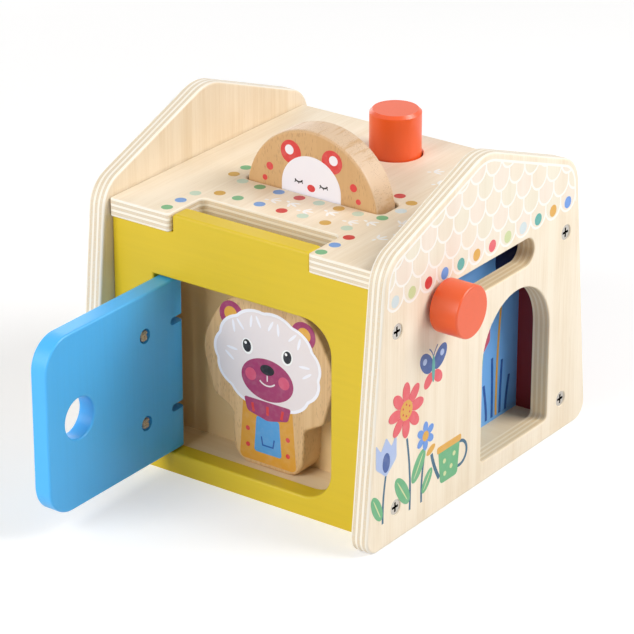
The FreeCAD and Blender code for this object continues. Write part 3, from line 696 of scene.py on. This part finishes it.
class FARM_OT_cords(bpy.types.Operator):
    """Braided elastic cords, each tied in a knot inside a cross hole of the door"""
    bl_idname = "farm.cords"
    bl_label = "Elastic cords"

    KNOT = (-44.4, -101.0)
    KNOT_HEIGHTS = (36.0, 83.6)
    KNOT_STEPS = 24
    RUN = ((-48.0, -77.0), (-48.0, -86.0), (-48.0, -94.0), (-47.6, -99.0), (-46.2, -101.0), (-45.2, -101.0))
    TAIL_DROP = 0.7  # how far each further place of the tail hangs
    TAIL = ((-44.6, -101.6), (-43.4, -102.6), (-42.9, -103.6))

    def strand(self, places, radius, closed=False):
        """The mesh of a cord along a smooth curve, in metres."""
        curve = bpy.data.curves.new("strand", "CURVE")
        curve.dimensions = "3D"
        curve.bevel_depth = radius
        curve.bevel_resolution = 4
        curve.use_fill_caps = not closed
        spline = curve.splines.new("NURBS")
        spline.points.add(len(places) - 1)
        for point, place in zip(spline.points, places):
            point.co = (*(value * MM for value in place), 1.0)
        spline.resolution_u = 6
        spline.order_u = 3
        spline.use_cyclic_u = closed
        spline.use_endpoint_u = not closed
        return bpy.data.meshes.new_from_object(bpy.data.objects.new("strand", curve))

    def knot(self, height, size):
        """A trefoil whose loops lie in the plane of the door's shown face."""
        across, along_door = self.KNOT
        places = []
        for i in range(self.KNOT_STEPS):
            t = math.tau * i / self.KNOT_STEPS
            places.append((
                across - size * math.sin(3 * t),
                along_door + size * (math.sin(t) + 2 * math.sin(2 * t)),
                height + size * (math.cos(t) - 2 * math.cos(2 * t)),
            ))
        return places

    def execute(self, context):
        settings = context.scene.farm_cords
        braid = cord_finish("braided_elastic", settings.cord, settings.shadow)
        dress(braid, "jamb_cords")
        mesh = bmesh.new()
        for height in self.KNOT_HEIGHTS:
            run = [(across, deep, height) for across, deep in self.RUN]
            tail = [(across, deep, height - self.TAIL_DROP * i) for i, (across, deep) in enumerate(self.TAIL)]
            mesh.from_mesh(self.strand(run, settings.radius))
            mesh.from_mesh(self.strand(tail, settings.knot_radius))
            loops = self.knot(height, settings.knot_size / MM)
            mesh.from_mesh(self.strand(loops, settings.knot_radius, closed=True))
        bmesh.ops.remove_doubles(mesh, verts=mesh.verts[:], dist=0.01 * MM)
        bmesh.ops.recalc_face_normals(mesh, faces=mesh.faces[:])
        cords = settle(solid("tied_door_cords", mesh, braid), "door")
        for face in cords.data.polygons:
            face.use_smooth = True
        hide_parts("door_cords")
        return {"FINISHED"}


class FARM_OT_roof_print(bpy.types.Operator):
    """Coloured dots and white bird tracks on the roof board"""
    bl_idname = "farm.roof_print"
    bl_label = "Roof print"

    # Each dot's place across and along the roof, by ink
    DOTS = {
        "sage": [(-48, -75.5), (-27, -45.7), (46.3, -76.8), (-48.3, -10.7), (-26.9, -27.6), (45.6, -25)],
        "haze": [(-48.2, -64.3), (-13.5, -45.8), (46.5, -66), (-15.2, -27.6)],
        "mint": [(-47.9, -52.9), (12.6, -45.6), (39, -45.6), (-38.6, -26.4), (9.4, -27.6), (33, -27.7)],
        "mustard": [(-38.2, -45.7), (26.6, -46.2), (-47.9, -21.3), (21.4, -27.6), (46.4, -1)],
        "brick": [(0.3, -46.2), (46.6, -54.5), (-2.4, -27.8), (36.4, 3.4)],
        "pale": [(47.9, -12.4)],
    }
    # Middle of each bird track, and the way that it points in degrees
    TRACKS = [
        (-12.6, -38.2, 20), (-2.3, -35.6, -25), (8.5, -40.5, 15), (19.7, -34.2, -20), (34.6, -38.6, 10),
        (42.9, -33.2, -15), (58.6, -48.2, 70), (63.5, -37.0, 60), (58.0, -26.5, 100), (31.6, 39.6, 40),
        (42.3, 27.3, 55), (51.0, 38.0, 35),
    ]
    # Turn of each toe and its share of the full length
    TOES = ((-42, 0.9), (0, 1.0), (42, 0.9), (180, 0.45))
    TOE = 5.4
    TOE_HALF = 0.72
    TOE_START = 0.6

    def execute(self, context):
        picture = Picture("", TOP_FACE, ROOF_HIGH.z, "house", "birch_ply")
        for name, places in self.DOTS.items():
            picture.ink("roof_dots_" + name, name).discs(places, context.scene.farm_print.roof_dot / MM)
        tracks = picture.ink("bird_tracks", "white")
        for across, up, heading in self.TRACKS:
            for toe, reach in self.TOES:
                turn = math.radians(heading + toe)
                half = self.TOE * reach / 2
                out = half + self.TOE_START
                middle = (across + out * math.cos(turn), up + out * math.sin(turn))
                tracks.disc(*middle, half, self.TOE_HALF, heading + toe, 16)
        return picture.finish()


class FARM_OT_shingle_print(bpy.types.Operator):
    """Fish-scale shingles with a row of dots and a border on the right side"""
    bl_idname = "farm.shingle_print"
    bl_label = "Shingle print"

    FIRST_DOT = -77.2
    DOT_HEIGHT = 128.1
    LOWEST = 123.6
    ROWS = 5
    DOT_INKS = ("pale", "lime", "red", "blue", "teal", "ochre", "coral", "lime", "pale", "teal", "ochre",
                "blue")
    # The panel's rounded corners: the middle across and up, the radius, and the angles of each
    CORNERS = ((-68.04, 135.37, 18.0, 174.15, 110.14), (0.0, 150.74, 27.0, 110.14, 69.86),
               (68.04, 135.37, 18.0, 69.86, 5.85))
    EDGE = 3.2
    BAND = 1.3
    WASHES = ("cream", "rose", "moss")

    def trim(self, mesh, inset):
        """Cuts the print back from the panel's outline by the given distance."""
        for across, up, radius, start, end in self.CORNERS:
            for i in range(9):
                turn = math.radians(start + (end - start) * i / 8)
                out = Vector((math.cos(turn), math.sin(turn), 0))
                everything = mesh.verts[:] + mesh.edges[:] + mesh.faces[:]
                bmesh.ops.bisect_plane(mesh, geom=everything, dist=0.0001, clear_outer=True, plane_no=out,
                                       plane_co=Vector((across, up, 0)) + out * (radius - inset))

    def plate(self, radius, half):
        """The white ground, scalloped along its lower edge."""
        outer = radius + half
        turn = math.degrees(math.acos(radius / outer))
        corners = []
        for i in range(-1, len(self.DOT_INKS) + 1):
            middle = self.FIRST_DOT + 2 * radius * i
            corners += arc_points(middle, self.LOWEST + radius, outer, 180 + turn, 360 - turn, 16)[:-1]
        return [(-96, 190)] + corners + [(96, self.LOWEST + radius), (96, 190)]

    def scale(self, across, low, radius, half, rise):
        """One shingle: a round foot, straight sides and the feet of the two above it."""
        outer = radius + half
        turn = math.degrees(math.acos(radius / outer))
        lean = math.degrees(math.asin(half / outer))
        above = low + rise + radius
        corners = arc_points(across, low + radius, radius - half, 180, 360, 16)
        corners += arc_points(across + radius, above, outer, 270 - lean, 180 + turn, 8)
        corners += arc_points(across - radius, above, outer, 360 - turn, 270 + lean, 8)[1:]
        return corners

    def execute(self, context):
        settings = context.scene.farm_print
        radius = settings.shingle_pitch / MM / 2
        rise = settings.shingle_rise / MM
        half = settings.shingle_line / MM / 2
        picture = Picture("", RIGHT_FACE, HOUSE_HIGH.x, "house", "birch_ply")
        plate = picture.ink("shingle_plate", "shingle").patch(self.plate(radius, half))
        self.trim(plate.mesh, self.EDGE)
        for turn, name in enumerate(self.WASHES):
            tint = getattr(context.scene.farm_wood, name)
            wood = birch_finish("birch_" + name, "x", HOUSE_LOW.x, "z", wash=tint)
            scales = picture.add("shingles_" + name, wood, 1)
            for row in range(self.ROWS):
                start = self.FIRST_DOT + (radius if row % 2 else 0.0)
                for column in range(-1, len(self.DOT_INKS) + 1):
                    if (2 * column + row + row // 2) % len(self.WASHES) == turn:
                        middle = start + column * 2 * radius
                        scales.patch(self.scale(middle, self.LOWEST + row * rise, radius, half, rise))
            self.trim(scales.mesh, self.EDGE + self.BAND)
        for name in sorted(set(self.DOT_INKS)):
            places = [(self.FIRST_DOT + i * 2 * radius, self.DOT_HEIGHT)
                      for i, ink in enumerate(self.DOT_INKS) if ink == name]
            picture.ink("eave_dots_" + name, name, 2).discs(places, settings.side_dot / MM)
        return picture.finish()


class FARM_OT_garden_print(bpy.types.Operator):
    """A flower bed, a butterfly and a watering can on the lower left of the right side"""
    bl_idname = "farm.garden_print"
    bl_label = "Garden print"

    # Foot, middle and top of each flower's stem
    STEMS = (((-86.0, 14), (-86.5, 28), (-83.0, 42)), ((-63.0, 12), (-62.0, 32), (-66.0, 52)),
             ((-53.0, 12), (-53.5, 26), (-50.5, 38)))
    # Middle, half-width, half-length and turn of each leaf
    LEAVES = ((-91.0, 24.0, 3.6, 8.2, 28), (-69.5, 25.0, 4.2, 10.0, 34), (-55.8, 33.0, 4.0, 9.0, -34),
              (-48.2, 22.0, 2.9, 6.8, -36))
    DAISY = (-67.0, 67.5)
    TULIP = (-83.5, 47.5)
    BELL = (-50.0, 47.0)
    BUTTERFLY = (-44.0, 81.0)
    SPOUT = ((-37.5, 19), (-42.5, 27), (-44.5, 35))
    CAN = ((-38.5, 34), (-36.5, 15), (-21.5, 15), (-19.5, 34))
    CAN_SPOTS = ((-33, 26.5), (-27, 21.5), (-24.5, 27.5), (-32.5, 19.5))

    def execute(self, context):
        picture = Picture("garden_", RIGHT_FACE, HOUSE_HIGH.x, "house", "birch_ply")
        ink = picture.ink
        stems = ink("stems", "steel_blue")
        for path in self.STEMS:
            stems.line(bend(path), 1.5)
        leaves = ink("leaves", "leaf", 1)
        veins = ink("veins", "lime", 2)
        for across, up, half, tall, turn in self.LEAVES:
            leaves.disc(across, up, half, tall, turn)
            veins.disc(across, up, 0.42, tall * 0.78, turn, 16)

        ink("daisy", "coral", 4).petals(self.DAISY, 9.4, 5.4, 3.1, 8)
        ink("daisy_middle", "ochre", 5).disc(*self.DAISY, 5.2)
        ink("daisy_seeds", "red", 6).petals(self.DAISY, 3.1, 0.6, 0.6, 6)
        across, up = self.TULIP
        cup = [(0, up + 12), (4.4, up + 5.5), (8.6, up + 11), (8.6, up - 2), (0, up - 9)]
        ink("tulip", "periwinkle", 2).patch(mirrored(across, cup), 1.3)
        ink("tulip_heart", "navy", 3).disc(across, up - 1.5, 3.1, 5.2)
        ink("bell", "blue", 2).petals(self.BELL, 4.8, 3.0, 2.1, 6)
        ink("bell_eye", "ochre", 3).disc(*self.BELL, 2.7)

        spout = ink("can_spout", "steel_blue").line(bend(self.SPOUT), 2.2)
        spout.line(arc_points(-19.8, 25.5, 6.6, 118, -118, 22), 1.7)
        ink("can", "leaf", 1).patch(self.CAN, 2.2)
        trim = ink("can_trim", "ochre", 2).patch(mirrored(-29.0, [(10.6, 36), (10.6, 32.4)]), 1.2)
        trim.disc(-45.2, 37.6, 4.0, 1.9, 25)
        ink("can_spots", "lime", 2).discs(self.CAN_SPOTS, 1.3)

        across, up = self.BUTTERFLY
        ink("wings", "navy").pair(across, 5.9, up + 4.6, 4.4, 7.0, -42)
        ink("small_wings", "coral").pair(across, 4.0, up - 5.2, 3.0, 4.6, 48)
        ink("wing_spots", "periwinkle", 1).pair(across, 7.4, up + 6.0, 1.7)
        ink("butterfly_body", "teal", 2).disc(across, up, 1.3, 7.2)
        feelers = ink("feelers", "navy", 1)
        for side in (-1, 1):
            places = ((across, up + 6), (across + side, up + 9.5), (across + side * 3.6, up + 11.5))
            feelers.line(bend(places), 0.6)
        return picture.finish()


class FARM_OT_front_figure_print(bpy.types.Operator):
    """A calm cub's face and a mustard coat on the figure behind the door"""
    bl_idname = "farm.front_figure_print"
    bl_label = "Front figure print"

    FACE_UP = 69.0
    FACE_SIZE = (30.5, 25.0)
    RIM = 1.6
    LOBES = (0.055, 11)  # depth and number of the face's soft lobes
    # Middle of each tuft from the face's middle line, its height and the way that it leans in degrees
    TUFTS = ((-22.5, 69, 70), (-18.5, 84.5, 25), (-7.5, 89, 10), (4.5, 88.5, -12), (17.5, 85, -30),
             (23.5, 70, -70))
    TUFT_HALF = 2.3

    def execute(self, context):
        picture = Picture("cub_", FRONT_FACE, -FIGURE_LOW.y, "house", "beech")
        ink = picture.ink
        middle = (FIGURE_LOW.x + FIGURE_HIGH.x) / 2
        wide, tall = self.FACE_SIZE
        ink("ears", "plum").pair(middle, 22.0, 89.0, 7.4)
        ink("inner_ears", "ochre", 1).pair(middle, 22.4, 89.4, 4.0)
        rim = lobed(middle, self.FACE_UP, wide + self.RIM, tall + self.RIM, *self.LOBES)
        ink("fur_rim", "wool_line", 2).patch(rim)
        ink("fur", "wool", 3).patch(lobed(middle, self.FACE_UP, wide, tall, *self.LOBES))
        tufts = ink("tufts", "wool_line", 4)
        for across, up, turn in self.TUFTS:
            lean = math.radians(turn)
            for side in (-self.TUFT_HALF, self.TUFT_HALF):
                tip = (middle + across - side * math.cos(lean), up - side * math.sin(lean))
                tufts.disc(*tip, 0.75, 3.4, turn - math.copysign(16, side), 20)
        ink("muzzle", "plum", 4).disc(middle, 59.0, 16.0, 11.4, segments=56)
        ink("blush", "pink", 5).pair(middle, 10.2, 60.0, 3.4)
        ink("nose", "black", 6).disc(middle, 64.6, 4.3, 2.8)
        ink("eye_whites", "white", 5).pair(middle, 12.2, 74.6, 3.4, 4.3, -8)
        ink("eyes", "black", 6).pair(middle, 12.4, 74.8, 2.5, 3.4, -8)
        ink("glints", "white", 7).pair(middle - 0.8, 12.4, 76.3, 0.8)
        ink("smile", "wool", 6).line([(middle, 61.6), (middle, 58.4)], 0.7)
        ink("mouth", "wool", 7).line(arc_points(middle, 60.6, 5.6, 215, 325, 18, 4.6), 0.8)
        ink("coat", "mustard_coat").patch(mirrored(middle, [(15.0, 48), (17.6, 12.5)]), 3.2)
        ink("bib", "apron", 1).patch(mirrored(middle, [(7, 38), (8.5, 18)]), 1.6)
        ink("pocket", "reed", 2).line(mirrored(middle, [(4, 27), (3.2, 22.5)]), 0.8)
        ink("scarf", "plum", 4).patch(mirrored(middle, [(14.5, 47), (12.5, 39.5), (0, 36.5)]), 1.4)
        stripes = ink("scarf_stripes", "red", 5)
        for across in (-9.0, 0.0, 9.0):
            stripes.line([(middle + across * 1.05, 44.5), (middle + across * 0.95, 39.6)], 1.6)
        ink("buttons", "red", 2).pair(middle, 12.4, 20.5, 1.3).pair(middle, 12.4, 29.5, 1.3)
        return picture.finish()


class FARM_OT_half_disc_print(bpy.types.Operator):
    """A white mouse that rises with the half-disc"""
    bl_idname = "farm.half_disc_print"
    bl_label = "Half-disc print"

    EYE_UP = 150.4
    # Place of each lash from the middle of its eye, sideways and down
    LASHES = ((0.62, 1.5), (0.0, 1.9), (-0.62, 1.5))

    def execute(self, context):
        picture = Picture("mouse_", FRONT_FACE, -BLOCK_LOW.y, "pop_up", "beech")
        ink = picture.ink
        middle = (BLOCK_LOW.x + BLOCK_HIGH.x) / 2
        ink("ears", "red").pair(middle, 12.5, 163.0, 6.2)
        crown = arc_points(middle, 146.0, 18.0, 0, 180, 36, 17.0)
        ink("head", "milk", 1).patch([(middle + 18.0, 118.0)] + crown + [(middle - 18.0, 118.0)])
        ink("inner_ears", "milk", 1).pair(middle, 13.4, 164.0, 2.6)
        eyes = ink("eyes", "black", 2)
        for eye in (middle - 7.6, middle + 7.6):
            eyes.line(arc_points(eye, self.EYE_UP, 2.5, 205, 335, 10, 2.2), 0.8)
            for lean, lift in self.LASHES:
                across, up = eye + lean * 2.9, self.EYE_UP - lift
                eyes.line([(across, up), (across + lean, up - 1.3)], 0.5)
        ink("nose", "red", 2).disc(middle, 146.4, 2.4, 1.9)
        ink("dots", "red").pair(middle, 25.5, 152.5, 2.1).pair(middle, 28.5, 145.8, 1.5)
        return picture.finish()


class FARM_OT_channel_print(bpy.types.Operator):
    """Reeds, a tulip, a tree whose dark crown is painted shade, and a star on the blue board behind the
    sliding figure
    """
    bl_idname = "farm.channel_print"
    bl_label = "Channel print"

    # Foot, top and height of each reed
    REEDS = ((41.5, 38.5, 33), (46.8, 46.0, 46), (54.2, 55.4, 42), (59.5, 62.5, 31))
    # Middle across and up, both radii, and depth and number of the lobes of the tree's dark crown, a painted
    # shade where the slot's end lies in shadow
    SHADE_CROWN = (61.0, 101.0, 13.5, 15.5, 0.10, 6)
    TRUNK = ((50.6, 12), (49.6, 50), (56.0, 94))
    TULIP_STEM = ((35.0, 12), (34.6, 34), (37.0, 52))
    TULIP = ((0, 70), (3.0, 64.5), (6.2, 69), (6.2, 57), (0, 51.5))

    def execute(self, context):
        picture = Picture("pond_", RIGHT_FACE, BOARD_HIGH.x, "house", "sky_blue_paint")
        ink = picture.ink
        reeds = ink("reeds", "reed")
        for foot, top, height in self.REEDS:
            reeds.line(bend(((foot, 12), (foot, height * 0.6), (top, height))), 2.0)
        ink("trunk", "ochre", 1).line(bend(self.TRUNK), 1.8)
        # Painted shade, drawn as a print shape: the dark crown behind the slot's end
        ink("tree_crown", "night", 2).patch(lobed(*self.SHADE_CROWN))
        ink("tulip_stem", "leaf", 1).line(bend(self.TULIP_STEM), 1.6)
        ink("tulip", "pink", 2).patch(mirrored(37.2, self.TULIP), 1.2)
        ink("leaf", "leaf", 3).disc(30.6, 30.0, 2.8, 8.5, 26)
        ink("star", "ochre", 2).petals((25.0, 114.0), 4.4, 3.0, 1.9, 5, 24)
        return picture.finish()


class FARM_OT_slider_print(bpy.types.Operator):
    """A chick on the figure that slides to the window"""
    bl_idname = "farm.slider_print"
    bl_label = "Slider print"

    def execute(self, context):
        picture = Picture("chick_", RIGHT_FACE, SLIDER_HIGH.x, "slider", "beech")
        ink = picture.ink
        middle = (SLIDER_LOW.y + SLIDER_HIGH.y) / 2
        ink("head", "wool").disc(middle, 84.0, 24.5, 20.5, segments=64)
        ink("body", "teal").patch(mirrored(middle, [(13, 60), (14.5, 15)]), 3.0)
        ink("eyes", "black", 1).pair(middle, 9.0, 85.5, 1.9, 2.5)
        ink("wings", "lime", 1).pair(middle, 8.6, 38.0, 3.2, 9.0, 10)
        ink("cheeks", "coral", 1).pair(middle, 15.0, 78.5, 3.0)
        ink("beak", "ochre", 1).patch(mirrored(middle, [(4.6, 80.5), (0, 73.5)]), 1.0)
        return picture.finish()


class FARM_OT_studio(bpy.types.Operator):
    """White paper floor, soft lamps and the camera at the photograph's angle"""
    bl_idname = "farm.studio"
    bl_label = "Studio"

    WHITE = (1.0, 1.0, 1.0, 1.0)
    SENSOR = 36.0
    # Distances from the toy, in metres, between which the paper's glow rises, and the glow at each
    GLOW = {"From Min": 0.7, "From Max": 2.4, "To Min": 0.38, "To Max": 0.95}
    # Size and place of each lamp, in metres, and its colour
    LAMPS = {
        "key": (0.8, (0.990, 0.500, 1.010), (1.0, 0.99, 0.98)),
        "fill": (1.0, (-0.36, -1.38, 0.78), (1.0, 0.985, 0.965)),
        "rear": (1.0, (-1.25, 0.75, 0.36), (1.0, 1.0, 1.0)),
    }
    AIM = (0.0, 0.0, 0.08)

    def execute(self, context):
        stage = context.scene.farm_stage
        self.camera(context, stage)
        self.paper(stage)
        self.sky(context, stage)
        for name, (size, place, colour) in self.LAMPS.items():
            self.lamp(name + "_lamp", getattr(stage, name), size, place, colour)
        return {"FINISHED"}

    def camera(self, context, stage):
        data = bpy.data.cameras.new("camera")
        data.lens = stage.lens
        data.sensor_width = self.SENSOR
        camera = stand("camera", data)
        camera.location = stage.camera
        camera.rotation_euler = (math.pi / 2 - stage.elevation, 0.0, stage.azimuth)
        context.scene.camera = camera
        context.scene.view_settings.view_transform = "Standard"

    def paper(self, stage):
        mesh = bmesh.new()
        bmesh.ops.create_grid(mesh, x_segments=1, y_segments=1, size=stage.floor / 2)
        finish = Finish("studio_paper")
        finish.colour(linear(stage.paper))
        finish.put("Roughness", 0.9)
        finish.put("Specular IOR Level", 0.1)
        finish.put("Emission Color", self.WHITE)
        distance = finish.add("ShaderNodeVectorMath", {0: finish.place}, operation="LENGTH").outputs["Value"]
        glow = finish.add("ShaderNodeMapRange", {"Value": distance, **self.GLOW}).outputs["Result"]
        finish.put("Emission Strength", finish.times(finish.unlit(), glow))
        floor = solid("paper", mesh, finish.material)

    def sky(self, context, stage):
        world = bpy.data.worlds.new("studio")
        world.use_nodes = True
        nodes = Nodes(world.node_tree)
        background = nodes.tree.nodes["Background"].inputs
        nodes.join(background["Color"], self.WHITE)
        nodes.join(background["Strength"], nodes.ranged(nodes.unlit(), stage.daylight, 1.0))
        context.scene.world = world

    def lamp(self, name, power, size, place, colour):
        data = bpy.data.lights.new(name, "AREA")
        data.energy = power
        data.size = size
        data.color = colour
        lamp = stand(name, data)
        lamp.location = place
        lamp.rotation_euler = (Vector(self.AIM) - lamp.location).to_track_quat("-Z", "Y").to_euler()


PROPERTY_GROUPS = {
    "farm_wood": WoodSettings,
    "farm_paint": PaintSettings,
    "farm_print": PrintSettings,
    "farm_cords": CordSettings,
    "farm_stage": StageSettings,
}
OPERATORS = (
    FARM_OT_studio,
    FARM_OT_birch_boards,
    FARM_OT_painted_boards,
    FARM_OT_beech_pieces,
    FARM_OT_turned_pieces,
    FARM_OT_hardware,
    FARM_OT_cords,
    FARM_OT_roof_print,
    FARM_OT_shingle_print,
    FARM_OT_garden_print,
    FARM_OT_front_figure_print,
    FARM_OT_half_disc_print,
    FARM_OT_channel_print,
    FARM_OT_slider_print,
)


class FARM_PT_panel(bpy.types.Panel):
    """Lists the toy's operators"""
    bl_idname = "FARM_PT_panel"
    bl_label = "Farmhouse toy"
    bl_space_type = "VIEW_3D"
    bl_region_type = "UI"
    bl_category = "Farmhouse"

    def draw(self, context):
        for operator in OPERATORS:
            self.layout.operator(operator.bl_idname)


def register():
    for name, group in PROPERTY_GROUPS.items():
        bpy.utils.register_class(group)
        setattr(bpy.types.Scene, name, bpy.props.PointerProperty(type=group))
    for operator in OPERATORS:
        bpy.utils.register_class(operator)
    bpy.utils.register_class(FARM_PT_panel)


def unregister():
    bpy.utils.unregister_class(FARM_PT_panel)
    for operator in reversed(OPERATORS):
        bpy.utils.unregister_class(operator)
    for name, group in PROPERTY_GROUPS.items():
        delattr(bpy.types.Scene, name)
        bpy.utils.unregister_class(group)


def main():
    register()
    for operator in OPERATORS:
        group, name = operator.bl_idname.split(".")
        getattr(getattr(bpy.ops, group), name)()


if __name__ == "__main__":
    main()
